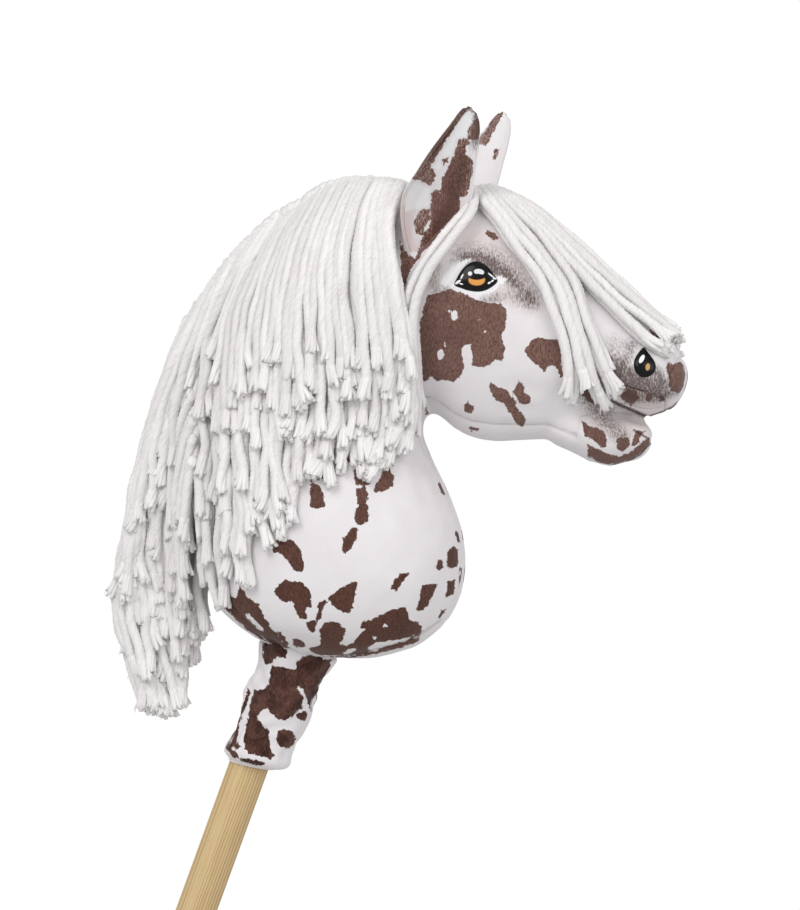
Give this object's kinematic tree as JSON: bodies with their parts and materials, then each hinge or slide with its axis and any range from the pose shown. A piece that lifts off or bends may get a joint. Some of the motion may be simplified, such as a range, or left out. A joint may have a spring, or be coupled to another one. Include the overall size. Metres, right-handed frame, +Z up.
{
  "type": "hobby horse",
  "caption": "Stuffed plush horse head with a yarn mane and forelock, cupped ears and a cuff, pushed onto a straight round wooden stick.",
  "frame": {"origin": "centre of the stick's lower end face", "axes": "+Z up as the toy is held in use, +X towards the muzzle, +Y the horse's left side; the stick leans 20.3 degrees from +Z towards +X"},
  "size_m": [0.481, 0.1482, 0.9301],
  "materials": {
    "wood": "satin",
    "plush": "matte",
    "brown_plush": "matte",
    "lining": "matte",
    "yarn": "matte",
    "fibre": "matte",
    "cotton": "matte",
    "gloss_black": "gloss"
  },
  "bodies": {
    "stick": {"stick": "wood"},
    "head": {"stick_pocket": "cotton", "cuff": "brown_plush", "cuff_elastic": "cotton", "neck_base_panel": "plush", "side_panel_right": "plush", "side_panel_left": "plush", "forehead_gusset": "plush", "nose_panel": "plush", "chin_gusset": "plush", "mouth_panel": "plush", "neck_stuffing": "fibre", "head_stuffing": "fibre", "lower_lip": "plush", "mane_tape": "cotton", "ear_right_outer": "plush", "ear_right_lining": "lining", "eye_right": "gloss_black", "nostril_right": "gloss_black", "forelock_bridge_right": "yarn", "forelock_front_right": "yarn", "mane_right_1": "yarn", "mane_right_2": "yarn", "mane_right_3": "yarn", "mane_right_4": "yarn", "mane_right_5": "yarn", "ear_left_outer": "plush", "ear_left_lining": "lining", "eye_left": "gloss_black", "nostril_left": "gloss_black", "forelock_bridge_left": "yarn", "forelock_front_left": "yarn", "mane_left_1": "yarn", "mane_left_2": "yarn", "mane_left_3": "yarn", "mane_left_4": "yarn", "mane_left_5": "yarn"}
  },
  "joints": [
    {"name": "head_slide", "type": "slide", "parent": "stick", "child": "head", "axis": [0.3469, 0, 0.9379], "range_m": [0, 0.3]}
  ]
}
